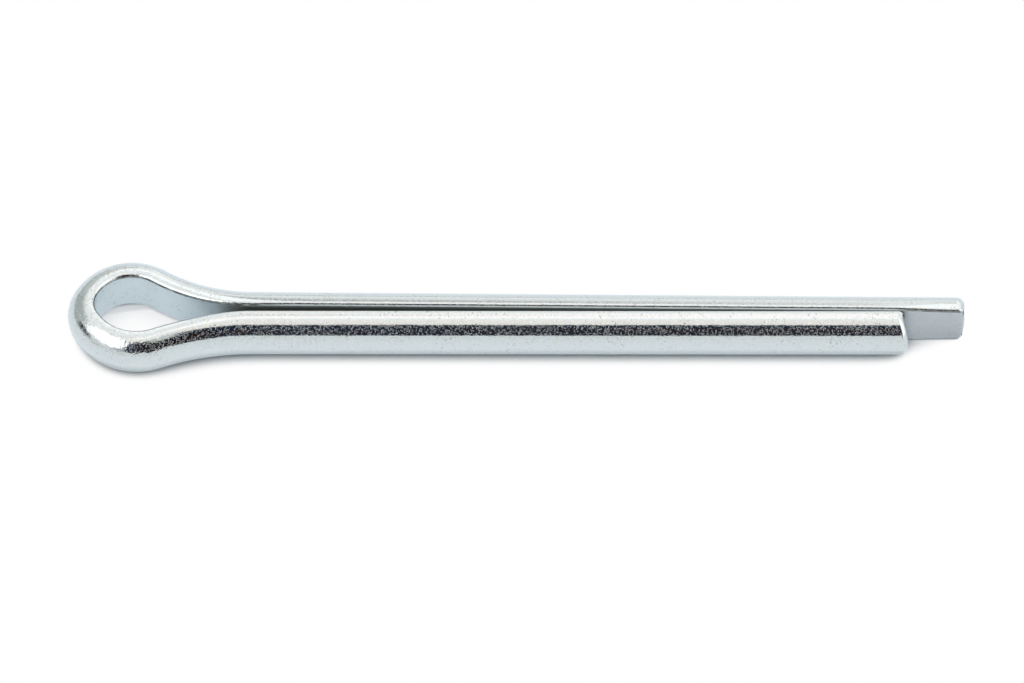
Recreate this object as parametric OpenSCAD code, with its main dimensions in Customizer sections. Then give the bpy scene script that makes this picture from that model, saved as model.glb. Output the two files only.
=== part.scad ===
// Split cotter pin: one length of half-round wire doubled back into an eye and two legs.
// It lies flat. +X runs down the shank to the tips, +Z is up, and the long leg is on +Y.
// The origin is on the shank's axis at the neck, where the eye ends and the legs begin.

/* [Shank] */
// diameter of the round shank the two legs make together
shank_d = 3.70; // [3.5:0.01:3.9]
// length of the short leg, from the neck to its tip
leg_len = 40.5; // [18:0.5:80]
// how far the long leg reaches past the short one
tip_step = 3.42; // [0:0.01:4]
// gap between the flats of the legs at the neck
neck_gap = 0.47; // [0.2:0.01:0.8]
// gap between the flats at the tip of the short leg
tip_gap = 0.13; // [0.05:0.01:0.4]
// rounding along both edges of the wire's flat
edge_r = 0.20; // [0.05:0.01:0.5]

/* [Eye] */
// length of the eye, from the neck to its outer end
eye_len = 11.42; // [9.5:0.01:14]
// width across the outside of the eye
eye_w = 7.30; // [6.5:0.01:8]
// how far the middle of the eye is off the shank's axis, toward the long leg
eye_shift = 0.39; // [0:0.01:0.6]
// how far the nose is off the middle of the eye, toward the long leg
nose_shift = 0.09; // [-0.3:0.01:0.3]
// outer radius of the nose, the tight bend at the eye's end
nose_r = 2.97; // [2.4:0.01:3.1]
// angle the nose turns through on each side of its middle
nose_turn = 29; // [10:1:45]

/* [Tips] */
// slant of each end face, the wire's flat being its shorter side
tip_slant = 10.5; // [0:0.5:14]
// rounding of the outer rim of each end
rim_r = 0.40; // [0.1:0.01:0.8]

/* [Hidden] */
$fn = 96;

// the wire's section, about the centre of its round back
arc_r = shank_d / 2;
flat_off = (neck_gap + tip_gap) / 4;
corner_x = flat_off + edge_r;
corner_y = sqrt(pow(arc_r - edge_r, 2) - pow(corner_x, 2));
corner_ray = [corner_x, corner_y] / (arc_r - edge_r);

// the line that centre follows; radii and angles are rounded so that neighbouring bends meet exactly
function kept(value, places) = round(value * pow(10, places)) / pow(10, places);
neck_y = neck_gap / 2 - flat_off;
leg_lean = kept(atan(2 * neck_y / leg_len), 4);
eye_y = eye_w / 2 - arc_r;
bend_r = nose_r - arc_r;
nose = [arc_r - eye_len + bend_r, eye_shift + nose_shift];

// a hair of a degree by which a bend runs into its neighbours, so that their meshes fuse as well
lap = 0.00002;

// the end of a leg: a disc with a rounded rim, then a cone that stays clear of the wire
rim_flare = 16;
rim = [arc_r - rim_r, -rim_r];
rim_top = rim.x + rim_r * (1 - sin(rim_flare)) / cos(rim_flare);
tip_back = rim.x * sin(tip_slant) + rim_r * (1 - cos(tip_slant));

// half-round wire: the flat at x = flat_off, the round back on +x
module wire_section() {
    difference() {
        intersection() {
            circle(r = arc_r);
            translate([flat_off, -arc_r]) square([arc_r, shank_d]);
        }
        outside_corner();
        mirror([0, 1]) outside_corner();
    }
}

// what the rounding takes off where the flat meets the round back
module outside_corner() {
    difference() {
        polygon([[corner_x, corner_y], shank_d * corner_ray, [0, shank_d], [0, corner_y]]);
        translate([corner_x, corner_y]) circle(r = edge_r);
    }
}

// moves by whole hundredths first and by the rest next, which keeps every digit
module at(point) {
    whole = [kept(point.x, 2), kept(point.y, 2)];
    translate(whole) translate(point - whole) children();
}

// one side of the pin, as if it lay on +Y: shoulder of the eye, swan bend, leg
module side(side_y, nose_y, len) {
    shoulder_r = kept((side_y - nose_y - bend_r * sin(nose_turn)) / (1 - sin(nose_turn)), 4);
    shoulder = [nose.x, nose_y] + (shoulder_r - bend_r) * [cos(nose_turn), -sin(nose_turn)];

    // the swan bend touches the shoulder's circle and the leg's line at the neck
    leg_normal = [sin(leg_lean), cos(leg_lean)];
    to_neck = [0, neck_y] - shoulder;
    reach = (to_neck * to_neck - pow(shoulder_r, 2)) / (shoulder_r - to_neck * leg_normal) / 2;
    to_swan = to_neck + reach * leg_normal;
    flank = kept(atan2(to_swan.x, to_swan.y), 3);
    swan_r = kept((shoulder.y + shoulder_r * cos(flank) - neck_y) / (cos(leg_lean) - cos(flank)), 4);
    swan = shoulder + (shoulder_r + swan_r) * [sin(flank), cos(flank)];

    at(shoulder)
        rotate_extrude(start = 90 - flank - lap, angle = 90 + flank - nose_turn + 2 * lap)
            translate([shoulder_r, 0]) wire_section();
    at(swan)
        rotate_extrude(start = 270 - flank, angle = flank - leg_lean + lap)
            translate([swan_r, 0]) mirror([1, 0]) wire_section();
    at(swan - swan_r * leg_normal) rotate(-leg_lean) leg(len);
}

// straight leg along +X, its end slanted and rounded
module leg(len) {
    intersection() {
        rotate([90, 0, 90]) linear_extrude(len + shank_d) wire_section();
        translate([len - tip_back, 0]) rotate([0, 90, -tip_slant]) tip_form(len + shank_d);
    }
}

// all that lies behind the end face, which is at z = 0
module tip_form(depth) {
    rotate_extrude()
        difference() {
            polygon([[0, 0], [rim_top, 0],
                     [rim_top + depth * tan(rim_flare), -depth], [0, -depth]]);
            difference() {
                polygon([rim, rim + 2 * rim_r * [0, 1], rim + 2 * rim_r * [1, 1],
                         rim + 2 * rim_r * [cos(rim_flare), sin(rim_flare)]]);
                translate(rim) circle(r = rim_r);
            }
        }
}

module cotter_pin() {
    color("silver") {
        translate(nose)
            rotate_extrude(start = 180 - nose_turn, angle = 2 * nose_turn)
                translate([bend_r, 0]) wire_section();
        side(eye_y + eye_shift, nose.y, leg_len + tip_step);
        mirror([0, 1, 0]) side(eye_y - eye_shift, -nose.y, leg_len);
    }
}

cotter_pin();
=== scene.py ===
"""The look of a split cotter pin: half-round wire bent round an eye, zinc plated, on a pale table."""

import math

import bmesh
import bpy
from bpy.props import FloatProperty, FloatVectorProperty, PointerProperty
from mathutils import Matrix, Vector, noise


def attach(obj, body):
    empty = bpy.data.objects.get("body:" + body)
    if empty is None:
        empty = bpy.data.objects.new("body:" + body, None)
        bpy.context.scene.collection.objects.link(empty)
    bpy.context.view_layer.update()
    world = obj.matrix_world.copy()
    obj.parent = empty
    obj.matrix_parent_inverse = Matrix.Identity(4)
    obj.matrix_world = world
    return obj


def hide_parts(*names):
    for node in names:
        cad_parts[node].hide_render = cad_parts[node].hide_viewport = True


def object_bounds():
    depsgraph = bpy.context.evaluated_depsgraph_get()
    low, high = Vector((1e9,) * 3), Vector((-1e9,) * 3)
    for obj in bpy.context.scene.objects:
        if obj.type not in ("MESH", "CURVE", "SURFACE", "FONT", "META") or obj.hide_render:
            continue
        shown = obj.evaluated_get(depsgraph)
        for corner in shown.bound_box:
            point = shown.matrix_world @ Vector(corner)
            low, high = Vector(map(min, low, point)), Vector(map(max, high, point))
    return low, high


bl_info = {
    "name": "Cotter Pin",
    "version": (1, 0, 0),
    "blender": (4, 5, 0),
    "location": "View3D > Sidebar > Cotter Pin",
    "description": "A zinc plated split cotter pin, bent from half-round wire, and the table it lies on",
    "category": "Add Mesh",
}

MM = 0.001

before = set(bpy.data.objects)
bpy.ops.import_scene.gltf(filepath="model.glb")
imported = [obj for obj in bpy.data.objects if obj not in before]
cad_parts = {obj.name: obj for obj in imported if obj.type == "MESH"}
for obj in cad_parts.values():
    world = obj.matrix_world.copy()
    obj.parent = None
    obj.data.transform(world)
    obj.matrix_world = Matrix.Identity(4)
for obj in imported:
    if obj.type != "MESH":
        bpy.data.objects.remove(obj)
CAD_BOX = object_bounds()


# ---------------------------------------------------------------- settings

def length(name, description, mm):
    return FloatProperty(name=name, description=description, default=mm * MM, precision=6,
                         subtype="DISTANCE", unit="LENGTH")


def angle(name, description, degrees):
    return FloatProperty(name=name, description=description, default=math.radians(degrees),
                         subtype="ANGLE", unit="ROTATION")


def fraction(name, description, value):
    return FloatProperty(name=name, description=description, default=value, min=0, max=1,
                         subtype="FACTOR")


def strength(name, description, value):
    return FloatProperty(name=name, description=description, default=value, min=0)


def watts(name, description, value):
    return FloatProperty(name=name, description=description, default=value, min=0, unit="POWER")


def colour(name, description, rgb):
    return FloatVectorProperty(name=name, description=description, default=rgb, size=3,
                               min=0, max=1, subtype="COLOR")


class WireSettings(bpy.types.PropertyGroup):
    """Sizes of the bent wire."""
    shank_d: length("Shank diameter", "Diameter of the round shank that both legs make", 3.70)
    leg_len: length("Short leg", "Length of the short leg, from the neck to its tip", 40.5)
    tip_step: length("Tip step", "How far the long leg reaches past the short one", 3.42)
    neck_gap: length("Neck gap", "Gap between the flats of the legs at the neck", 0.47)
    tip_gap: length("Tip gap", "Gap between the flats at the tip of the short leg", 0.13)
    edge_r: length("Edge rounding", "Rounding along both edges of the wire's flat", 0.20)
    eye_len: length("Eye length", "Length of the eye, from the neck to its outer end", 11.42)
    eye_w: length("Eye width", "Width across the outside of the eye", 7.30)
    eye_shift: length("Eye shift", "How far the middle of the eye is off the shank's axis", 0.39)
    nose_shift: length("Nose shift", "How far the nose is off the middle of the eye", 0.09)
    nose_r: length("Nose radius", "Outer radius of the tight bend at the eye's end", 2.97)
    nose_turn: angle("Nose turn", "Angle the nose turns through on each side of its middle", 29)
    tip_slant: angle("Tip slant", "Slant of the short leg's end face", 10.5)
    rim_r: length("Rim rounding", "Rounding of the outer rim of each end", 0.37)
    flat_rim: length("Flat's rim rounding", "Rounding of the rim where it crosses the flat", 0.22)
    end_dome: length("End dome", "How far tumbling has worn back the upper and lower part of each end", 0.14)
    short_roll: angle("Short leg roll", "Twist of the short leg's wire, its top toward the long leg", 3.4)
    long_roll: angle("Long tip roll", "Twist of the long leg's tip, its top toward the short leg", 2)
    tip_press: length("Tip press", "How far the long tip's upper inner edge is pressed down", 0.14)
    eye_sink: length("Eye edge sink", "How far bending has pulled down the inner edges in the eye", 0.16)
    edge_wave: length("Edge raggedness",
                      "Unevenness of the inner edges in the eye and where the long leg starts", 0.040)
    long_lean: angle("Long end lean", "How far the long leg's end face leans back toward its foot", 0.8)


class FinishSettings(bpy.types.PropertyGroup):
    """Colours and grain of the zinc."""
    zinc: colour("Zinc", "Colour of the plated zinc", (0.62, 0.655, 0.66))
    flats: colour("Flats", "Colour of the wire's flat sides, which stay matt", (0.69, 0.755, 0.79))
    # painted shade: the flats are painted darker along the legs, where the legs close on each other and on
    # the long tip's flat
    shaded_leg_flats: colour("Thin plating", "Colour of the flats between the legs, where the plating is thin",
                 (0.54, 0.575, 0.60))
    # painted reflection: a dark line painted under the worn upper edge, where its rounding faces the dark
    # part of the room
    painted_dark_line: colour("Crease", "Colour of the dark line under the worn upper edge", (0.10, 0.10, 0.085))
    # painted shade: the dark colour painted deep between the legs, where shade falls
    gap_shade: colour("Grime", "Colour of what has settled deep between the legs", (0.11, 0.13, 0.11))
    specks: colour("Specks", "Colour of the small dull specks", (0.26, 0.23, 0.18))
    grain: length("Grain size", "Size of the grain in the plating", 0.13)
    grain_height: length("Grain height", "Height of the grain in the plating", 0.0046)
    bend_height: length("Bend mark height", "Height of the waves that bending left round the nose", 0.022)
    back_rough: fraction("Back roughness", "Roughness of the wire's round back", 0.06)
    flat_rough: fraction("Flat roughness", "Roughness of the wire's flat sides", 0.30)
    flat_metal: fraction("Flat metallic", "How far the dull coat on the flats acts as metal", 0.6)


class StudioSettings(bpy.types.PropertyGroup):
    """The table and the light."""
    table: colour("Table", "Colour of the table, as the pin sees it", (0.84, 0.862, 0.876))
    shadow: colour("Shadow", "Colour of the table close to the pin, as the camera sees it",
                   (0.55, 0.60, 0.64))
    table_glow: strength("Table glow", "Light that the table adds to what the metal mirrors", 0.275)
    fill: strength("Fill light", "Strength of the even light from all round", 0.16)
    front_light: watts("Front light", "Power of the softbox overhead on the camera's side", 2.9)
    back_light: watts("Back light", "Power of the softbox overhead on the far side", 3.4)


# ---------------------------------------------------------------- the wire's line

class Bend:
    """A stretch of the wire's line that turns about a centre, anticlockwise where turn is positive."""

    def __init__(self, centre, radius, start, turn):
        self.centre, self.radius, self.start, self.turn = Vector(centre), radius, start, turn
        self.run = radius * abs(turn)

    def place(self, share):
        a = self.start + self.turn * share
        out = Vector((math.cos(a), math.sin(a)))
        return self.centre + self.radius * out, Vector((-out.y, out.x)) * math.copysign(1, self.turn)


class Straight:
    """A straight stretch of the wire's line."""

    def __init__(self, start, end):
        self.start, self.end = Vector(start), Vector(end)
        self.run = (self.end - self.start).length

    def place(self, share):
        return self.start.lerp(self.end, share), (self.end - self.start).normalized()


def side_of_pin(wire, side_y, nose_y, leg_len):
    """Shoulder, swan bend and leg, as if they lay on +Y, in order from the nose to the tip."""
    arc_r = wire.shank_d / 2
    neck_y = (wire.neck_gap - wire.tip_gap) / 4
    lean = math.atan(2 * neck_y / wire.leg_len)
    bend_r = wire.nose_r - arc_r
    nose_x = arc_r - wire.eye_len + bend_r
    turn = wire.nose_turn
    shoulder_r = (side_y - nose_y - bend_r * math.sin(turn)) / (1 - math.sin(turn))
    shoulder = Vector((nose_x, nose_y)) + (shoulder_r - bend_r) * Vector((math.cos(turn), -math.sin(turn)))
    leg_normal = Vector((math.sin(lean), math.cos(lean)))
    to_neck = Vector((0, neck_y)) - shoulder
    reach = (to_neck.dot(to_neck) - shoulder_r ** 2) / (shoulder_r - to_neck.dot(leg_normal)) / 2
    to_swan = to_neck + reach * leg_normal
    flank = math.atan2(to_swan.x, to_swan.y)
    swan_r = (shoulder.y + shoulder_r * math.cos(flank) - neck_y) / (math.cos(lean) - math.cos(flank))
    swan = shoulder + (shoulder_r + swan_r) * Vector((math.sin(flank), math.cos(flank)))
    quarter = math.pi / 2
    neck = swan - swan_r * leg_normal
    along = Vector((math.cos(lean), -math.sin(lean)))
    return [
        Bend(shoulder, shoulder_r, 2 * quarter - turn, turn - quarter - flank),
        Bend(swan, swan_r, 3 * quarter - flank, flank - lean),
        Straight(neck, neck + leg_len * along),
    ]


def mirrored(stretch):
    """The same stretch on the other side of the shank's axis."""
    flip = Vector((1, -1))
    if isinstance(stretch, Bend):
        return Bend(stretch.centre * flip, stretch.radius, -stretch.start, -stretch.turn)
    return Straight(stretch.start * flip, stretch.end * flip)


def reversed_stretch(stretch):
    """The same stretch, walked the other way."""
    if isinstance(stretch, Bend):
        return Bend(stretch.centre, stretch.radius, stretch.start + stretch.turn, -stretch.turn)
    return Straight(stretch.end, stretch.start)


def wire_line(wire):
    """The stretches that the centre of the wire's round back follows, from the long tip to the short one."""
    arc_r = wire.shank_d / 2
    eye_y = wire.eye_w / 2 - arc_r
    nose_y = wire.eye_shift + wire.nose_shift
    bend_r = wire.nose_r - arc_r
    far = side_of_pin(wire, eye_y + wire.eye_shift, nose_y, wire.leg_len + wire.tip_step)
    near = side_of_pin(wire, eye_y - wire.eye_shift, -nose_y, wire.leg_len)
    nose = Bend((arc_r - wire.eye_len + bend_r, nose_y), bend_r, math.pi - wire.nose_turn, 2 * wire.nose_turn)
    return [reversed_stretch(s) for s in reversed(far)] + [nose] + [mirrored(s) for s in near]


# ---------------------------------------------------------------- mesh tools

def verts_of(out, key="geom"):
    return [g for g in out[key] if isinstance(g, bmesh.types.BMVert)]


def drawn_on(bm, vert, way):
    """Draws a straight edge from vert, and returns its far end."""
    end = bmesh.ops.extrude_vert_indiv(bm, verts=[vert])["verts"][0]
    bmesh.ops.translate(bm, verts=[end], vec=(*way, 0))
    return end


def swing(bm, vert, centre, turn, steps):
    """Draws an arc from vert, and returns its last vertex."""
    out = bmesh.ops.spin(bm, geom=[vert], cent=(*centre, 0), axis=(0, 0, 1), angle=turn, steps=steps)
    return verts_of(out, "geom_last")[0]


# the rounding along each edge of the flat, as shares of its radius: a close turn off the flat, a narrow
# worn flat, a wider turn, and a close turn into the round back
WORN_TILT, CLOSE_TILT = math.radians(58), math.radians(28)
FLAT_TURN, WORN_WIDTH, WIDE_TURN, BACK_TURN = 0.60, 0.40, 1.05, 0.65
# how many edges draw each of the three turns, the round back and the flat
TURN_STEPS, BACK_STEPS, FLAT_STEPS = (6, 7, 9), 64, 16


def outward(tilt):
    """The way out of the section at its lower edge, tilted from straight down toward the flat."""
    return Vector((-math.sin(tilt), -math.cos(tilt)))


def flat_x(wire):
    """Where the flat lies in the section, from the centre of the round back."""
    return (wire.neck_gap + wire.tip_gap) / 4


def worn_edge(wire):
    """The narrow worn flat at the section's lower edge, drawn away from the wire's flat."""
    way = outward(WORN_TILT)
    return WORN_WIDTH * wire.edge_r * Vector((-way.y, way.x))


def edge_centres(wire):
    """Centres of the three turns at the section's lower edge, and where the flat starts."""
    arc_r, r, flat = wire.shank_d / 2, wire.edge_r, flat_x(wire)
    first = Vector((FLAT_TURN * r, 0))
    second = first + (FLAT_TURN - WIDE_TURN) * r * outward(WORN_TILT) + worn_edge(wire)
    third = second + (WIDE_TURN - BACK_TURN) * r * outward(CLOSE_TILT)
    low = math.sqrt((arc_r - BACK_TURN * r) ** 2 - (flat + third.x) ** 2)
    start = Vector((flat, -low - third.y))
    return start, [start + c for c in (first, second, third)]


def draw_section(bm, wire):
    """The half-round section as a closed loop in the XY plane: flat on -X, round back on +X."""
    start, centres = edge_centres(wire)
    back = math.pi / 2 + math.atan2(centres[2].y, centres[2].x)
    angles = (math.pi / 2 - WORN_TILT, WORN_TILT - CLOSE_TILT, CLOSE_TILT + back)
    turns = list(zip(centres, angles, TURN_STEPS))
    worn = worn_edge(wire)
    first = last = bm.verts.new((*start, 0))
    last = swing(bm, last, *turns[0])
    last = drawn_on(bm, last, worn)
    last = swing(bm, last, *turns[1])
    last = swing(bm, last, *turns[2])
    last = swing(bm, last, (0, 0), math.pi - 2 * back, BACK_STEPS)
    upper = [(Vector((c.x, -c.y)), turn, steps) for c, turn, steps in reversed(turns)]
    last = swing(bm, last, *upper[0])
    last = swing(bm, last, *upper[1])
    last = drawn_on(bm, last, Vector((-worn.x, worn.y)))
    last = swing(bm, last, *upper[2])
    for _ in range(FLAT_STEPS - 1):
        last = drawn_on(bm, last, Vector((0, 2 * start.y / FLAT_STEPS)))
    bm.edges.new((last, first))
    ring = [first]
    edge = next(e for e in first.link_edges if e.other_vert(first) is not last)
    while True:
        vert = edge.other_vert(ring[-1])
        if vert is first:
            break
        ring.append(vert)
        edge = next(e for e in vert.link_edges if e is not edge)
    return ring


def section_frame(point, along, roll):
    """Carries the section to a point of the line: its +X to the outside of the pin, its +Y up."""
    out = Vector((along.y, -along.x, 0))
    up = Vector((0, 0, 1))
    turned_out = out * math.cos(roll) + up * math.sin(roll)
    turned_up = up * math.cos(roll) - out * math.sin(roll)
    rows = Matrix((turned_out, turned_up, Vector((along.x, along.y, 0)))).transposed().to_4x4()
    rows.translation = (point.x, point.y, 0)
    return rows


def ease(low, high, value):
    """0 below low, 1 above high, and smooth between them."""
    t = min(1, max(0, (value - low) / (high - low)))
    return t * t * (3 - 2 * t)


# between one ring and the next, in the bends and on the straight legs
BEND_STEP, LEG_STEP = 0.12 * MM, 0.30 * MM


def stations(wire):
    """The length of the wire's line, and places along it: run from the long tip, point and way."""
    line = wire_line(wire)
    total = sum(s.run for s in line)
    run, found = 0, []
    for stretch in line:
        pace = BEND_STEP if isinstance(stretch, Bend) else LEG_STEP
        count = max(2, math.ceil(stretch.run / pace))
        for i in range(count + (stretch is line[-1])):
            point, along = stretch.place(i / count)
            found.append((run + stretch.run * i / count, point, along))
        run += stretch.run
    return total, found


def edges_of(bm, ring):
    """The edges that close a ring of vertices."""
    return [bm.edges.get((a, b)) for a, b in zip(ring, ring[1:] + ring[:1])]


def sweep(bm, ring, frames):
    """Extrudes the ring through every frame, and returns one ring for each."""
    bmesh.ops.transform(bm, matrix=frames[0], verts=ring)
    rings = [ring]
    for before, after in zip(frames, frames[1:]):
        out = bmesh.ops.extrude_edge_only(bm, edges=edges_of(bm, rings[-1]))
        new = set(verts_of(out))
        ring = [next(e.other_vert(v) for e in v.link_edges if e.other_vert(v) in new) for v in rings[-1]]
        bmesh.ops.transform(bm, matrix=after @ before.inverted(), verts=ring)
        rings.append(ring)
    return rings


def finish_mesh(bm, name):
    """Turns the bmesh into a smooth object in the scene, with its normals outward."""
    bmesh.ops.recalc_face_normals(bm, faces=bm.faces)
    for face in bm.faces:
        face.smooth = True
    mesh = bpy.data.meshes.new(name)
    bm.to_mesh(mesh)
    bm.free()
    piece = bpy.data.objects.new(name, mesh)
    bpy.context.scene.collection.objects.link(piece)
    return piece


# ---------------------------------------------------------------- the pin

# each end's rounded rim: how many rings draw it, the turn that it starts with, the plain ring just
# before it, and how near to an end the rings of the legs stop
RIM_RINGS = 9
RIM_START = math.radians(14)
RIM_LEAD = 0.03 * MM
RIM_ROOM = 1.2 * MM
CAP_INSET = 0.04 * MM
# how far the long leg's end stands past the end of its line
LONG_END = 0.06 * MM

# where along the wire each thing comes in or goes out: from the long tip,
TIP_ROLLED = (0, 4.1 * MM)
TIP_PRESSED = (0.8 * MM, 5.2 * MM)
TIP_PAINTED_LINE = (3.2 * MM, 4.6 * MM)
# from the long leg's neck,
LEG_RAGGED = (-14 * MM, -5 * MM)
EYE_SINKS = (-3.5 * MM, 5 * MM)
EYE_PAINTED_LINE = (-2.5 * MM, 0.5 * MM)
# from the short leg's neck,
LEG_ROLLED = (-5.5 * MM, -0.5 * MM)
EYE_ENDS = (-5 * MM, 0)
# and from the necks toward the nose
PAINTED_LINE_FADES = (8.3 * MM, 9.3 * MM)

# how far from the flat each thing reaches into the section
RIM_REACH = 0.55 * MM
SINK_REACH = 0.8 * MM
PRESS_REACH = 1.1 * MM
RAGGED_REACH = 1.3      # times the edge rounding
# how far above or below the middle of the section an edge is ragged
RAGGED_HEIGHT = (0.5 * MM, 1.4 * MM)

# raggedness of the edges: size of its coarse and fine part, and how strong the fine part is
COARSE_BURR, FINE_BURR, FINE_SHARE = 0.30 * MM, 0.14 * MM, 0.6
RAGGED_ON_LEG = 0.7
# tilts of the surface, in degrees from straight up toward the flat, where the painted dark line (a painted
# reflection) comes in and goes out, the size of its patches, its middle strength and how far that varies
# from patch to patch, and how much of it is lost at the nose
PAINTED_LINE_IN, PAINTED_LINE_OUT = (52, 58), (65, 77)
PAINTED_LINE_PATCH = 0.5 * MM
PAINTED_LINE_STRENGTH, PAINTED_LINE_VARIES = 0.8, 0.6
PAINTED_LINE_LOST = 0.5
# how far the surface faces the way of the flat where it turns dull: on all the wire, and on the lower
# edge of the eye
FLAT_FACING, LOW_EDGE_FACING = (0.90, 0.985), (0.2, 0.6)
# turns of the rim, in radians, where the painted dark line goes out and where the end's dull face comes in
RIM_CLEARS, RIM_DULLS = (0.4, 0.9), (0.9, 1.4)


def section_normals(ring):
    """Where each vertex of the section is as it is drawn, and the way out of the section there."""
    count = len(ring)
    points = [v.co.xy for v in ring]
    normals = []
    for i in range(count):
        along = (points[(i + 1) % count] - points[i - 1]).normalized()
        normals.append(Vector((along.y, -along.x)))
    return points, normals


class Wear:
    """How strong each twist, press, burr and painted dark line is at a run from the long tip."""

    def __init__(self, wire, total):
        self.wire = wire
        self.far_neck = wire.leg_len + wire.tip_step
        self.near_neck = total - wire.leg_len

    def roll(self, run):
        return (self.wire.short_roll * ease(*LEG_ROLLED, run - self.near_neck)
                + self.wire.long_roll * (1 - ease(*TIP_ROLLED, run)))

    def sunk(self, run):
        return ease(*EYE_SINKS, run - self.far_neck) * (1 - ease(*EYE_ENDS, run - self.near_neck))

    def pressed(self, run):
        return 1 - ease(*TIP_PRESSED, run)

    def ragged(self, run):
        on_leg = RAGGED_ON_LEG * ease(*LEG_RAGGED, run - self.far_neck)
        return max(self.sunk(run), on_leg if run < self.far_neck else 0)

    def painted_line_strength(self, run, x):
        in_eye = ease(*EYE_PAINTED_LINE, run - self.far_neck) * (1 - ease(*EYE_ENDS, run - self.near_neck))
        at_tip = 1 - ease(*TIP_PAINTED_LINE, run)
        near_nose = 1 - PAINTED_LINE_LOST * ease(*PAINTED_LINE_FADES, -x)
        patch = noise.noise((run / PAINTED_LINE_PATCH, 5, 5))
        patchy = min(1, PAINTED_LINE_STRENGTH + PAINTED_LINE_VARIES * patch)
        return (in_eye + at_tip) * near_nose * patchy


def burrs(run, side):
    """Unevenness along an edge of the wire: side is 1 on the upper edge and -1 on the lower one."""
    coarse = noise.noise((run / COARSE_BURR, 3 * side, 0))
    return coarse + FINE_SHARE * noise.noise((run / FINE_BURR, 7 * side, 2))


def worn_place(wire, wear, point, normal, run, end, turn):
    """Where a point of the section goes in one ring: across, up and along the wire."""
    arc_r = wire.shank_d / 2
    off_flat = point.x - flat_x(wire)

    def near_flat(reach):
        return 1 - ease(0, reach, off_flat)

    rim = wire.rim_r + (wire.flat_rim - wire.rim_r) * near_flat(RIM_REACH)
    rim /= 1 - math.sin(RIM_START)
    inset = max(0, math.cos(RIM_START) - math.cos(turn))
    across, up = point - normal * rim * inset * abs(end)
    if end < 0:
        face = LONG_END + up * math.tan(wire.long_lean)
    else:
        face = wire.rim_r / math.cos(wire.tip_slant) - wire.rim_r
        face += (across - (arc_r - wire.rim_r)) * math.tan(wire.tip_slant)
    face -= wire.end_dome * (up / arc_r) ** 2
    along = end * (face - rim * (1 - math.sin(max(turn, RIM_START))))
    if turn == 0:
        along -= end * RIM_LEAD

    up -= wire.eye_sink * wear.sunk(run) * near_flat(SINK_REACH) * point.y / arc_r
    up -= wire.tip_press * wear.pressed(run) * near_flat(PRESS_REACH) * max(0, point.y / arc_r)
    burr = wire.edge_wave * burrs(run, math.copysign(1, up)) * wear.ragged(run)
    up += burr * near_flat(RAGGED_REACH * wire.edge_r) * ease(*RAGGED_HEIGHT, abs(up))
    return across, up, along


def build_wire(wire):
    """Sweeps the section along the wire's line. Each ring takes the shape that wear has given it there."""
    bm = bmesh.new()
    flat_side = bm.verts.layers.float.new("flat_side")
    painted_dark_line = bm.verts.layers.float.new("painted_dark_line")
    ring = draw_section(bm, wire)
    points, normals = section_normals(ring)
    total, found = stations(wire)
    wear = Wear(wire, total)

    # end is -1 in the rings of the long leg's rim, 1 in those of the short leg's, and 0 between them
    turns = [0] + [RIM_START + k / RIM_RINGS * (math.pi / 2 - RIM_START) for k in range(RIM_RINGS + 1)]
    places = [(*found[0], -1, turn) for turn in reversed(turns)]
    places += [(*f, 0, 0) for f in found if RIM_ROOM < f[0] < total - RIM_ROOM]
    places += [(*found[-1], 1, turn) for turn in turns]
    frames = [section_frame(point, along, wear.roll(run)) for run, point, along, _, _ in places]
    rings = sweep(bm, ring, frames)

    for ring, matrix, (run, _, _, end, turn) in zip(rings, frames, places):
        painted_line_strength = wear.painted_line_strength(run, matrix.translation.x) * (1 - ease(*RIM_CLEARS, turn))
        for vert, point, normal in zip(ring, points, normals):
            vert.co = matrix @ Vector(worn_place(wire, wear, point, normal, run, end, turn))
            on_flat = ease(*FLAT_FACING, -normal.x)
            if point.y < 0:
                # the lower edge of the eye is as dull as the flat
                on_flat = max(on_flat, wear.sunk(run) * ease(*LOW_EDGE_FACING, -normal.x))
            vert[flat_side] = max(on_flat, ease(*RIM_DULLS, turn))
            # painted reflection: a dark line is painted under the worn upper edge, where the rounding faces
            # the dark part of the room
            tilt = math.degrees(math.atan2(-normal.x, normal.y))
            vert[painted_dark_line] = painted_line_strength * ease(*PAINTED_LINE_IN, tilt) * (1 - ease(*PAINTED_LINE_OUT, tilt))

    for ring in (rings[0], rings[-1]):
        caps = bmesh.ops.edgeloop_fill(bm, edges=edges_of(bm, ring))["faces"]
        bmesh.ops.inset_region(bm, faces=caps, thickness=CAP_INSET)
    return finish_mesh(bm, "half_round_wire")


# ---------------------------------------------------------------- node tools

def fill(tree, socket, value):
    """Links a socket to another, or gives it a value. A colour may come without its alpha."""
    if isinstance(value, bpy.types.NodeSocket):
        tree.links.new(value, socket)
    elif socket.type == "RGBA" and len(value) == 3:
        socket.default_value = (*value, 1)
    else:
        socket.default_value = value


def add_node(tree, kind, inputs=None, **settings):
    """Adds a node, sets it up, and fills its inputs with values or links."""
    node = tree.nodes.new("ShaderNode" + kind)
    for name, value in settings.items():
        setattr(node, name, value)
    for key, value in (inputs or {}).items():
        fill(tree, node.inputs[key], value)
    return node


def math_node(tree, operation, *values):
    return add_node(tree, "Math", dict(enumerate(values)), operation=operation).outputs[0]


def vector_math(tree, operation, *values, output="Vector"):
    return add_node(tree, "VectorMath", dict(enumerate(values)), operation=operation).outputs[output]


def part_of(tree, vector, axis):
    return add_node(tree, "SeparateXYZ", {0: vector}).outputs[axis]


def step_up(tree, value, low, high, smooth=True):
    """0 below low, 1 above high."""
    node = add_node(tree, "MapRange", {"Value": value, "From Min": low, "From Max": high},
                    interpolation_type="SMOOTHSTEP" if smooth else "LINEAR")
    return node.outputs["Result"]


def between(tree, share, first, second):
    """A number that goes from first to second as share goes from 0 to 1."""
    return add_node(tree, "MapRange", {"Value": share, "To Min": first, "To Max": second}).outputs["Result"]


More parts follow.
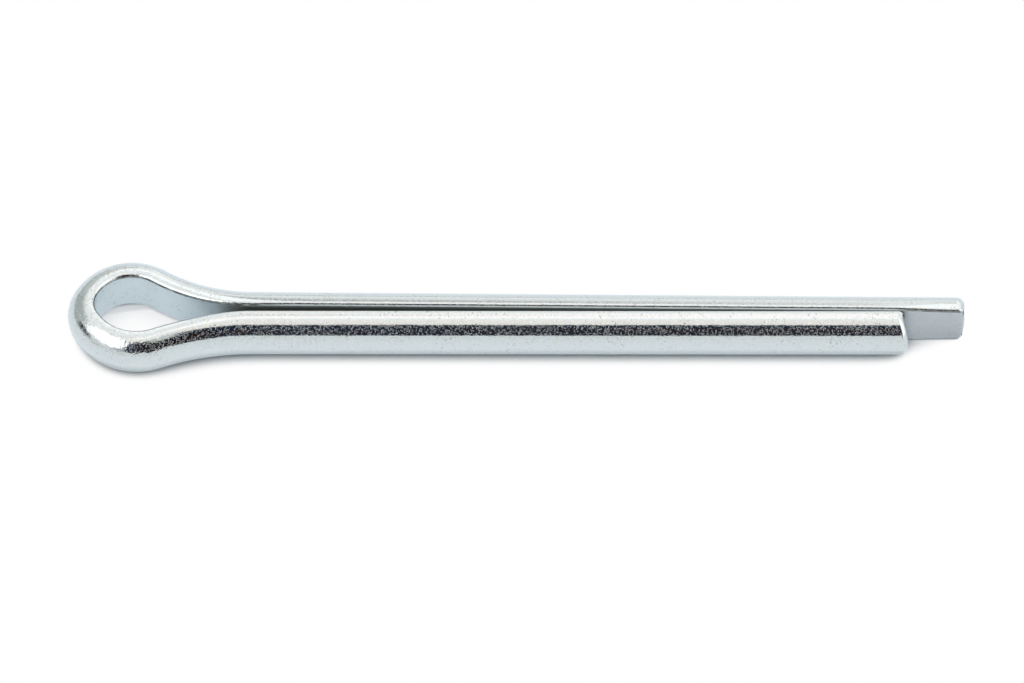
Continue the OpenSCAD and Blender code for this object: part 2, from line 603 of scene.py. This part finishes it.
# the Mix node names each socket once for every kind of data, so its colour sockets go by number
MIX_SHARE, MIX_FIRST, MIX_SECOND, MIX_RESULT = 0, 6, 7, 2


def mix_colour(tree, share, first, second):
    inputs = {MIX_SHARE: share, MIX_FIRST: first, MIX_SECOND: second}
    return add_node(tree, "Mix", inputs, data_type="RGBA").outputs[MIX_RESULT]


def mix_shader(tree, share, first, second):
    return add_node(tree, "MixShader", {0: share, 1: first, 2: second}).outputs[0]


def new_group(name, inputs, outputs):
    """A shader node group. Inputs and outputs are name: kind, or name: (kind, default)."""
    group = bpy.data.node_groups.new(name, "ShaderNodeTree")
    for side, sockets in (("INPUT", inputs), ("OUTPUT", outputs)):
        for label, kind in sockets.items():
            kind, value = kind if isinstance(kind, tuple) else (kind, None)
            socket = group.interface.new_socket(label, in_out=side, socket_type="NodeSocket" + kind)
            if value is not None:
                socket.default_value = value
    return group, group.nodes.new("NodeGroupInput").outputs, group.nodes.new("NodeGroupOutput").inputs


def place_group(tree, group, inputs):
    return add_node(tree, "Group", inputs, node_tree=group).outputs


# ---------------------------------------------------------------- materials

# values of the noise at which each thing comes in and is full: the rims of the dents in the grain,
# a dull speck, and straw in place of bluish
DENT_RIM, SPECK, STRAW = (0.60, 0.69), (0.89, 0.99), (0.40, 0.64)
# scale of the dents beside that of the fine grain, and of the groups of specks beside that of specks
DENT_SCALE, SPECK_GROUP_SCALE = 1.25, 0.09
# how far into the depth between the legs the painted shade takes to be full
NECK_FADE, TIP_FADE, BRINK_FADE, SIDE_FADE = 3 * MM, 0.4 * MM, 0.15 * MM, 0.2 * MM


def grain_group():
    """Height of the fine tumbled grain that the plating leaves, from 0 to 1."""
    group, inputs, outputs = new_group(
        "plating_grain",
        {"Vector": "Vector", "Grain size": ("Float", 0.13 * MM), "Dent share": ("Float", 0.55)},
        {"Height": "Float"})
    scale = math_node(group, "DIVIDE", 1.0, inputs["Grain size"])
    fine = add_node(group, "TexNoise", {"Vector": inputs["Vector"], "Scale": scale, "Detail": 1.0,
                                        "Roughness": 0.5, "Distortion": 0.8})
    dents = add_node(group, "TexNoise", {"Vector": inputs["Vector"], "Detail": 0.0, "Distortion": 1.2,
                                         "Scale": math_node(group, "MULTIPLY", scale, DENT_SCALE)})
    rims = step_up(group, dents.outputs[0], *DENT_RIM)
    even = math_node(group, "SUBTRACT", 1.0, inputs["Dent share"])
    both = math_node(group, "ADD", math_node(group, "MULTIPLY", fine.outputs[0], even),
                     math_node(group, "MULTIPLY", rims, inputs["Dent share"]))
    group.links.new(both, outputs["Height"])
    return group


def bend_mark_group():
    """Waves that bending has left in the round back about the nose. Height is from 0 to 1."""
    group, inputs, outputs = new_group(
        "bend_marks",
        {"Vector": "Vector", "Wave size": ("Float", 0.34 * MM), "Start": ("Float", -4 * MM),
         "Full": ("Float", -7 * MM)},
        {"Height": "Float", "At nose": "Float"})
    scale = math_node(group, "DIVIDE", 1.0, inputs["Wave size"])
    waves = add_node(group, "TexNoise", {"Vector": inputs["Vector"], "Scale": scale, "Detail": 3.0,
                                         "Roughness": 0.6, "Distortion": 0.5})
    at_nose = step_up(group, part_of(group, inputs["Vector"], "X"), inputs["Start"], inputs["Full"])
    group.links.new(math_node(group, "MULTIPLY", waves.outputs[0], at_nose), outputs["Height"])
    group.links.new(at_nose, outputs["At nose"])
    return group


def speck_group():
    """Small dull specks, thinly spread and in loose groups. Mask is 1 in a speck."""
    group, inputs, outputs = new_group(
        "dull_specks",
        {"Vector": "Vector", "Speck size": ("Float", 0.12 * MM), "Grouping": ("Float", 0.35)},
        {"Mask": "Float"})
    scale = math_node(group, "DIVIDE", 1.0, inputs["Speck size"])
    dots = add_node(group, "TexNoise", {"Vector": inputs["Vector"], "Detail": 0.0, "Distortion": 1.5,
                                        "Scale": scale})
    groups = add_node(group, "TexNoise", {"Vector": inputs["Vector"], "Detail": 1.0,
                                          "Scale": math_node(group, "MULTIPLY", scale, SPECK_GROUP_SCALE)})
    grouped = math_node(group, "MULTIPLY", groups.outputs[0], inputs["Grouping"])
    rare = step_up(group, math_node(group, "ADD", dots.outputs[0], grouped), *SPECK)
    group.links.new(rare, outputs["Mask"])
    return group


def tint_group():
    """The faint bluish and straw tints of a clear passivated zinc coat, as a colour to multiply by."""
    group, inputs, outputs = new_group(
        "passivation_tint",
        {"Vector": "Vector", "Patch size": ("Float", 0.22 * MM)},
        {"Colour": "Color"})
    bluish, straw = (0.985, 0.995, 1.015), (1.02, 1.005, 0.98)
    scale = math_node(group, "DIVIDE", 1.0, inputs["Patch size"])
    patches = add_node(group, "TexNoise", {"Vector": inputs["Vector"], "Scale": scale, "Detail": 2.0})
    tint = mix_colour(group, step_up(group, patches.outputs[0], *STRAW), bluish, straw)
    group.links.new(tint, outputs["Colour"])
    return group


def gap_group():
    """The depth between the legs, where shade is painted and the surface turns dull. Mask is 1 there."""
    group, inputs, outputs = new_group(
        "leg_gap",
        {"Vector": "Vector", "Neck": ("Float", -3 * MM), "Tip": ("Float", 40.4 * MM),
         "Brink": ("Float", 1.58 * MM), "Half width": ("Float", 0.5 * MM)},
        {"Mask": "Float"})
    x, y, z = (part_of(group, inputs["Vector"], axis) for axis in "XYZ")
    mask = step_up(group, math_node(group, "ABSOLUTE", y), inputs["Half width"],
                   math_node(group, "SUBTRACT", inputs["Half width"], SIDE_FADE))
    for value, limit, fade in ((x, "Neck", NECK_FADE), (x, "Tip", -TIP_FADE), (z, "Brink", -BRINK_FADE)):
        full = math_node(group, "ADD", inputs[limit], fade)
        mask = math_node(group, "MULTIPLY", mask, step_up(group, value, inputs[limit], full))
    group.links.new(mask, outputs["Mask"])
    return group


SPECULAR_TINT = (0.95, 0.97, 0.985)
# heights of the grain at which a hollow ends and a ridge starts, and the shade of each
GRAIN_HEIGHTS = (0.1, 0.75)
GRAIN_SHADE = (0.96, 1.03)
# where the flats are painted darker along the pin, standing in for shade on the legs' flats
SHADED_FLATS_FROM, SHADED_FLATS_FULL = -1 * MM, 8 * MM
SPECK_STRENGTH = 0.6
# what a speck and the gap add to the roughness
SPECK_ROUGH, GAP_ROUGH = 0.2, 0.3
# what bending the nose has left of the grain's height
NOSE_GRAIN = 0.85


def zinc_material(finish):
    """The zinc plated wire: a bright back, matt flats painted darker along the legs, a painted dark line
    (painted reflection) in the eye, and painted shade in the gap.
    """
    material = bpy.data.materials.new("plated_zinc")
    material.use_nodes = True
    tree = material.node_tree
    shader = tree.nodes["Principled BSDF"]
    fill(tree, shader.inputs["Specular Tint"], SPECULAR_TINT)
    where = add_node(tree, "TexCoord").outputs["Object"]
    flat = add_node(tree, "Attribute", attribute_name="flat_side").outputs["Fac"]
    painted_line_strength = add_node(tree, "Attribute", attribute_name="painted_dark_line").outputs["Fac"]
    grain = place_group(tree, grain_group(), {"Vector": where, "Grain size": finish.grain})["Height"]
    marks = place_group(tree, bend_mark_group(), {"Vector": where})
    specks = place_group(tree, speck_group(), {"Vector": where})["Mask"]
    tint = place_group(tree, tint_group(), {"Vector": where})["Colour"]
    gap = place_group(tree, gap_group(), {"Vector": where})["Mask"]

    # the hollows of the grain are a touch darker than its ridges
    shade = add_node(tree, "MapRange", {"Value": grain, "From Min": GRAIN_HEIGHTS[0],
                                        "From Max": GRAIN_HEIGHTS[1], "To Min": GRAIN_SHADE[0],
                                        "To Max": GRAIN_SHADE[1]})
    # painted shade: the flats turn darker along the legs
    shaded_leg_flats = step_up(tree, part_of(tree, where, "X"), SHADED_FLATS_FROM, SHADED_FLATS_FULL)
    flats = mix_colour(tree, shaded_leg_flats, finish.flats, finish.shaded_leg_flats)
    plated = mix_colour(tree, flat, vector_math(tree, "MULTIPLY", tint, finish.zinc), flats)
    # the painted dark line, a painted reflection of the dark part of the room
    plated = mix_colour(tree, painted_line_strength, plated, finish.painted_dark_line)
    shaded = add_node(tree, "VectorMath", {0: plated, "Scale": shade.outputs["Result"]}, operation="SCALE")
    speckled = math_node(tree, "MULTIPLY", specks, SPECK_STRENGTH)
    worn = mix_colour(tree, speckled, shaded.outputs["Vector"], finish.specks)
    # painted shade: the gap's colour stands in for the shade deep between the legs
    fill(tree, shader.inputs["Base Color"], mix_colour(tree, gap, worn, finish.gap_shade))

    rough = between(tree, flat, finish.back_rough, finish.flat_rough)
    for mask, more in ((specks, SPECK_ROUGH), (gap, GAP_ROUGH)):
        rough = math_node(tree, "ADD", rough, math_node(tree, "MULTIPLY", mask, more))
    fill(tree, shader.inputs["Roughness"], rough)
    metal = between(tree, flat, 1.0, finish.flat_metal)
    outside_gap = math_node(tree, "SUBTRACT", 1.0, gap)
    fill(tree, shader.inputs["Metallic"], math_node(tree, "MULTIPLY", metal, outside_gap))
    waved = add_node(tree, "Bump", {"Strength": 1.0, "Distance": finish.bend_height,
                                    "Height": marks["Height"]})
    grained = add_node(tree, "Bump", {"Strength": between(tree, marks["At nose"], 1.0, NOSE_GRAIN),
                                      "Distance": finish.grain_height, "Height": grain,
                                      "Normal": waved.outputs[0]})
    fill(tree, shader.inputs["Normal"], grained.outputs[0])
    return material


# ---------------------------------------------------------------- operators

class COTTERPIN_OT_wire(bpy.types.Operator):
    """Bends the half-round wire into the pin and plates it"""
    bl_idname = "cotterpin.wire"
    bl_label = "Bent Wire"

    def execute(self, context):
        settings = context.scene.cotter_pin_wire
        piece = build_wire(settings)
        piece.data.materials.append(zinc_material(context.scene.cotter_pin_finish))
        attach(piece, "root")
        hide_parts("cotter_pin")
        return {"FINISHED"}


class COTTERPIN_OT_stage(bpy.types.Operator):
    """Sets the table, the light and the camera"""
    bl_idname = "cotterpin.stage"
    bl_label = "Table and Light"

    def execute(self, context):
        scene = context.scene
        scene.view_settings.view_transform = "Standard"
        build_table(scene.cotter_pin_studio)
        light_scene(scene)
        place_camera(scene)
        return {"FINISHED"}


# beyond the eye the table ends in shade, as the metal sees it: which way that is, how far from the
# origin it starts and is full, and its colour
SHADE_WAY = (-0.866, 0.5, 0)
SHADE_FROM, SHADE_FULL = 27 * MM, 37 * MM
SHADE_COLOUR = (0.52, 0.55, 0.53)
GLOW_COLOUR = (0.86, 0.95, 1.0)
# the table is in the open where its ambient occlusion is the second, and in shadow at the first
SHELTER_REACH = 0.03
SHELTER = (0.28, 0.49)
# inside the eye the shadow is lighter: the ellipse of its floor, how much is added to the ambient
# occlusion there, and the least share of white at the foot of the far side and anywhere
EYE_MIDDLE = (-5.3 * MM, 0.39 * MM)
EYE_RADII = (5.6 * MM, 1.8 * MM)
EYE_LIFT = 0.18
EYE_FOOT = 0.42
LEAST_WHITE = 0.03
# where those two come in and are full, in radii of the ellipse, and where its far half does
LIFT_EDGE, FOOT_EDGE, FAR_EDGE = (1.12, 0.92), (1.32, 1.12), (-0.6, 0)
# half a side of the table, in metres
TABLE_REACH = 2.0


def open_air(tree, where):
    """How white the camera sees the table: 0 in the pin's shadow and 1 in the open."""
    shelter = add_node(tree, "AmbientOcclusion", {"Distance": SHELTER_REACH}, samples=24).outputs["AO"]
    at = vector_math(tree, "SUBTRACT", where, (*EYE_MIDDLE, 0))
    at = vector_math(tree, "MULTIPLY", at, (1 / EYE_RADII[0], 1 / EYE_RADII[1], 0))
    off_eye = vector_math(tree, "LENGTH", at, output="Value")
    lift = math_node(tree, "MULTIPLY", step_up(tree, off_eye, *LIFT_EDGE), EYE_LIFT)
    white = step_up(tree, math_node(tree, "ADD", shelter, lift), *SHELTER, smooth=False)
    far_half = step_up(tree, part_of(tree, at, "Y"), *FAR_EDGE)
    foot = math_node(tree, "MULTIPLY", step_up(tree, off_eye, *FOOT_EDGE), far_half)
    white = math_node(tree, "MAXIMUM", white, math_node(tree, "MULTIPLY", foot, EYE_FOOT))
    return math_node(tree, "MAXIMUM", white, LEAST_WHITE)


def build_table(studio):
    """The pale table. The camera sees it white but for the pin's shadow, and the metal sees it lit."""
    bm = bmesh.new()
    bmesh.ops.create_grid(bm, x_segments=1, y_segments=1, size=TABLE_REACH)
    bmesh.ops.translate(bm, verts=bm.verts, vec=(0, 0, CAD_BOX[0][2]))
    table = finish_mesh(bm, "table")
    material = bpy.data.materials.new("pale_table")
    material.use_nodes = True
    tree = material.node_tree
    tree.nodes.remove(tree.nodes["Principled BSDF"])
    where = add_node(tree, "TexCoord").outputs["Object"]
    seen = add_node(tree, "LightPath").outputs
    lit = add_node(tree, "BsdfDiffuse", {"Color": studio.table}).outputs[0]

    glow = add_node(tree, "Emission", {"Color": GLOW_COLOUR, "Strength": studio.table_glow}).outputs[0]
    shade = add_node(tree, "Emission", {"Color": SHADE_COLOUR, "Strength": 1.0}).outputs[0]
    glowing = add_node(tree, "AddShader", {0: lit, 1: glow}).outputs[0]
    away = vector_math(tree, "DOT_PRODUCT", where, SHADE_WAY, output="Value")
    mirrored = mix_shader(tree, step_up(tree, away, SHADE_FROM, SHADE_FULL), glowing, shade)
    is_mirrored = math_node(tree, "MAXIMUM", seen["Is Glossy Ray"], seen["Is Transmission Ray"])
    surface = mix_shader(tree, is_mirrored, lit, mirrored)

    shadow = add_node(tree, "BsdfDiffuse", {"Color": studio.shadow}).outputs[0]
    white = add_node(tree, "Emission", {"Color": (1, 1, 1), "Strength": 1.0}).outputs[0]
    shown = mix_shader(tree, open_air(tree, where), shadow, white)
    surface = mix_shader(tree, seen["Is Camera Ray"], surface, shown)
    fill(tree, tree.nodes["Material Output"].inputs["Surface"], surface)
    table.data.materials.append(material)


def studio_block_group():
    """A soft-edged block of the studio: 1 inside the given range of zenith and azimuth, in degrees."""
    group, inputs, outputs = new_group(
        "studio_block",
        {"Zenith": "Float", "Azimuth": "Float", "Top": "Float", "Bottom": "Float",
         "Middle": "Float", "Half width": "Float", "Softness": ("Float", 4.0)},
        {"Mask": "Float"})
    off_middle = math_node(group, "WRAP", math_node(group, "SUBTRACT", inputs["Azimuth"], inputs["Middle"]),
                           180.0, -180.0)
    depths = (math_node(group, "SUBTRACT", inputs["Zenith"], inputs["Top"]),
              math_node(group, "SUBTRACT", inputs["Bottom"], inputs["Zenith"]),
              math_node(group, "SUBTRACT", inputs["Half width"], math_node(group, "ABSOLUTE", off_middle)))
    mask = None
    for depth in depths:
        ramp = step_up(group, math_node(group, "DIVIDE", depth, inputs["Softness"]), -0.5, 0.5)
        mask = math_node(group, "MULTIPLY", mask, ramp) if mask else ramp
    group.links.new(mask, outputs["Mask"])
    return group


# what stands round the table, as the metal sees it: colour, then top and bottom from the zenith,
# the middle from the camera's side (to the right is positive), half the width and the softness
# of the edge, all in degrees. A later block covers the ones before it
STUDIO_BLOCKS = (
    # the ceiling
    ((1.63, 1.54, 1.5), -20, 11, 0, 200, 7),
    ((0.88, 0.87, 0.85), 1, 10, -112, 60, 7),
    # low on the camera's side
    ((0.991, 1.04, 1.04), 76, 200, 3, 77, 4),
    # the far side
    ((1.08, 1.08, 1.06), 68, 80, -160, 21, 4),
    ((0.64, 0.65, 0.63), 56, 69, -160, 21, 4),
    ((1.60, 1.60, 1.58), 34, 53, 170, 18, 4),
    ((1.45, 1.45, 1.42), 20, 130, 148, 20, 10),
    # the grey left and the bright right
    ((0.76, 0.785, 0.765), 44, 130, -132, 35, 24),
    ((0.575, 0.615, 0.61), 54, 130, -111, 29, 24),
    ((1.7, 1.7, 1.65), 26, 88, 66, 30, 5),
    # the big window in front on the left, with what is under it and beside it
    ((0.88, 0.91, 0.92), 80, 90, -42, 28, 6),
    ((2.3, 2.32, 2.34), 27, 69, -48, 31.5, 7),
    ((0.92, 0.95, 0.96), 70, 77, -46, 26, 4),
    ((0.45, 0.47, 0.49), 68, 78, -26, 8, 5),
    ((0.50, 0.53, 0.56), 56, 70, -18, 5, 4),
    ((0.015, 0.025, 0.03), 75.5, 95, -79.5, 11, 3),
    # the warm strip over the camera, and the dark round it
    ((1.26, 1.2, 1.12), 17, 36, 4, 40, 8),
    ((0.033, 0.037, 0.042), 34.5, 77, 10.5, 28, 2.5),
    ((0.12, 0.14, 0.16), 37, 60, -10, 6, 4),
    ((0.024, 0.018, 0.018), 50, 79, 25, 14, 4),
    ((0.75, 0.78, 0.74), 30, 46, 35, 7, 6),
)
OPEN_ROOM = (1.235, 1.235, 1.22)
FILL_COLOUR = (0.88, 0.96, 1.0)
LAMP_COLOUR = (1.0, 0.985, 0.975)
# what is dark out there is brown and bluish by turns: what that multiplies by, how fine it is, the
# values of the noise between which it turns, and how bright the room is where it ends
BLUISH, BROWN = (0.5, 0.9, 1.5), (1.5, 0.9, 0.75)
TONE_SCALE = 11.0
TONE_TURNS = (0.42, 0.58)
TONED = (0.10, 0.25)


def room_colour(tree, way):
    """The studio's colour each way, as the metal sees it."""
    x, y, z = (part_of(tree, way, axis) for axis in "XYZ")
    zenith = math_node(tree, "DEGREES", math_node(tree, "ARCCOSINE", z))
    azimuth = math_node(tree, "DEGREES", math_node(tree, "ARCTAN2", x, math_node(tree, "MULTIPLY", y, -1.0)))
    block = studio_block_group()
    room = OPEN_ROOM
    for tint, top, bottom, middle, half_width, softness in STUDIO_BLOCKS:
        mask = place_group(tree, block, {"Zenith": zenith, "Azimuth": azimuth, "Top": top, "Bottom": bottom,
                                         "Middle": middle, "Half width": half_width,
                                         "Softness": softness})["Mask"]
        room = mix_colour(tree, mask, room, tint)
    tone = add_node(tree, "TexNoise", {"Vector": way, "Scale": TONE_SCALE, "Detail": 1.0}).outputs[0]
    tones = mix_colour(tree, step_up(tree, tone, *TONE_TURNS), BLUISH, BROWN)
    toned = vector_math(tree, "MULTIPLY", room, tones)
    return mix_colour(tree, step_up(tree, part_of(tree, room, "Y"), *TONED), toned, room)


def light_scene(scene):
    """The studio that the metal mirrors, an even fill, a white backdrop and two softboxes."""
    studio = scene.cotter_pin_studio
    world = bpy.data.worlds.new("studio")
    scene.world = world
    world.use_nodes = True
    tree = world.node_tree
    seen = add_node(tree, "LightPath").outputs
    mirrored = room_colour(tree, add_node(tree, "TexCoord").outputs["Generated"])
    room = add_node(tree, "Background", {"Color": mirrored, "Strength": 1.0}).outputs[0]
    soft = add_node(tree, "Background", {"Color": FILL_COLOUR, "Strength": studio.fill}).outputs[0]
    plain = add_node(tree, "Background", {"Color": (1, 1, 1), "Strength": 1.0}).outputs[0]
    lit = mix_shader(tree, seen["Is Glossy Ray"], soft, room)
    whole = mix_shader(tree, seen["Is Camera Ray"], lit, plain)
    fill(tree, tree.nodes["World Output"].inputs["Surface"], whole)
    place_softbox("front_light", studio.front_light, 0)
    place_softbox("back_light", studio.back_light, 180)


# both softboxes: size and distance in metres, what they aim at, and their angle from overhead
SOFTBOX_SIZE = (0.35, 0.42)
SOFTBOX_DISTANCE = 0.85
SOFTBOX_AIM = (0.02, 0, 0)
SOFTBOX_ZENITH = math.radians(17)


def place_softbox(name, power, azimuth):
    """A soft lamp aimed at the pin. Azimuth is in degrees from the camera's side."""
    lamp = bpy.data.lights.new(name, "AREA")
    lamp.shape = "RECTANGLE"
    lamp.size, lamp.size_y = SOFTBOX_SIZE
    lamp.energy = power
    lamp.color = LAMP_COLOUR
    holder = bpy.data.objects.new(name, lamp)
    holder.visible_camera = holder.visible_glossy = False
    turn = Matrix.Rotation(math.radians(azimuth), 4, "Z") @ Matrix.Rotation(SOFTBOX_ZENITH, 4, "X")
    away = Matrix.Translation((0, 0, SOFTBOX_DISTANCE))
    holder.matrix_world = Matrix.Translation(SOFTBOX_AIM) @ turn @ away
    bpy.context.scene.collection.objects.link(holder)


# the view: elevation, how far it is turned about the vertical, the point that the picture's middle
# looks at, the width that it shows there, and its distance in metres
VIEW_ELEVATION = math.radians(57.8)
VIEW_TURN = math.radians(0.29)
VIEW_POINT = (16.045 * MM, -1.353 * MM)
VIEW_WIDTH = 63.21 * MM
VIEW_DISTANCE = 0.9
SENSOR_WIDTH = 36
CLIP_NEAR, CLIP_FAR = 0.05, 20


def place_camera(scene):
    """The camera, level from side to side and looking down on the pin."""
    right = Vector((math.cos(VIEW_TURN), math.sin(VIEW_TURN), 0))
    ahead = Vector((-math.sin(VIEW_TURN), math.cos(VIEW_TURN), 0))
    look = ahead * math.cos(VIEW_ELEVATION) - Vector((0, 0, 1)) * math.sin(VIEW_ELEVATION)
    up = right.cross(look)
    data = bpy.data.cameras.new("camera")
    data.sensor_width = SENSOR_WIDTH
    data.lens = SENSOR_WIDTH * VIEW_DISTANCE / VIEW_WIDTH
    data.clip_start, data.clip_end = CLIP_NEAR, CLIP_FAR
    camera = bpy.data.objects.new("camera", data)
    scene.collection.objects.link(camera)
    target = right * VIEW_POINT[0] + ahead * VIEW_POINT[1]
    camera.matrix_world = Matrix((right, up, -look)).transposed().to_4x4()
    camera.location = target - look * VIEW_DISTANCE
    scene.camera = camera


class COTTERPIN_PT_panel(bpy.types.Panel):
    """Lists the steps that make the pin"""
    bl_idname = "COTTERPIN_PT_panel"
    bl_label = "Cotter Pin"
    bl_space_type = "VIEW_3D"
    bl_region_type = "UI"
    bl_category = "Cotter Pin"

    def draw(self, context):
        for operator in OPERATORS:
            self.layout.operator(operator.bl_idname)


SETTINGS = {
    "cotter_pin_wire": WireSettings,
    "cotter_pin_finish": FinishSettings,
    "cotter_pin_studio": StudioSettings,
}
OPERATORS = (COTTERPIN_OT_wire, COTTERPIN_OT_stage)


def register():
    for name, group in SETTINGS.items():
        bpy.utils.register_class(group)
        setattr(bpy.types.Scene, name, PointerProperty(type=group))
    for operator in OPERATORS:
        bpy.utils.register_class(operator)
    bpy.utils.register_class(COTTERPIN_PT_panel)


def unregister():
    bpy.utils.unregister_class(COTTERPIN_PT_panel)
    for operator in reversed(OPERATORS):
        bpy.utils.unregister_class(operator)
    for name, group in reversed(SETTINGS.items()):
        delattr(bpy.types.Scene, name)
        bpy.utils.unregister_class(group)


def main():
    register()
    bpy.ops.cotterpin.wire()
    bpy.ops.cotterpin.stage()


if __name__ == "__main__":
    main()
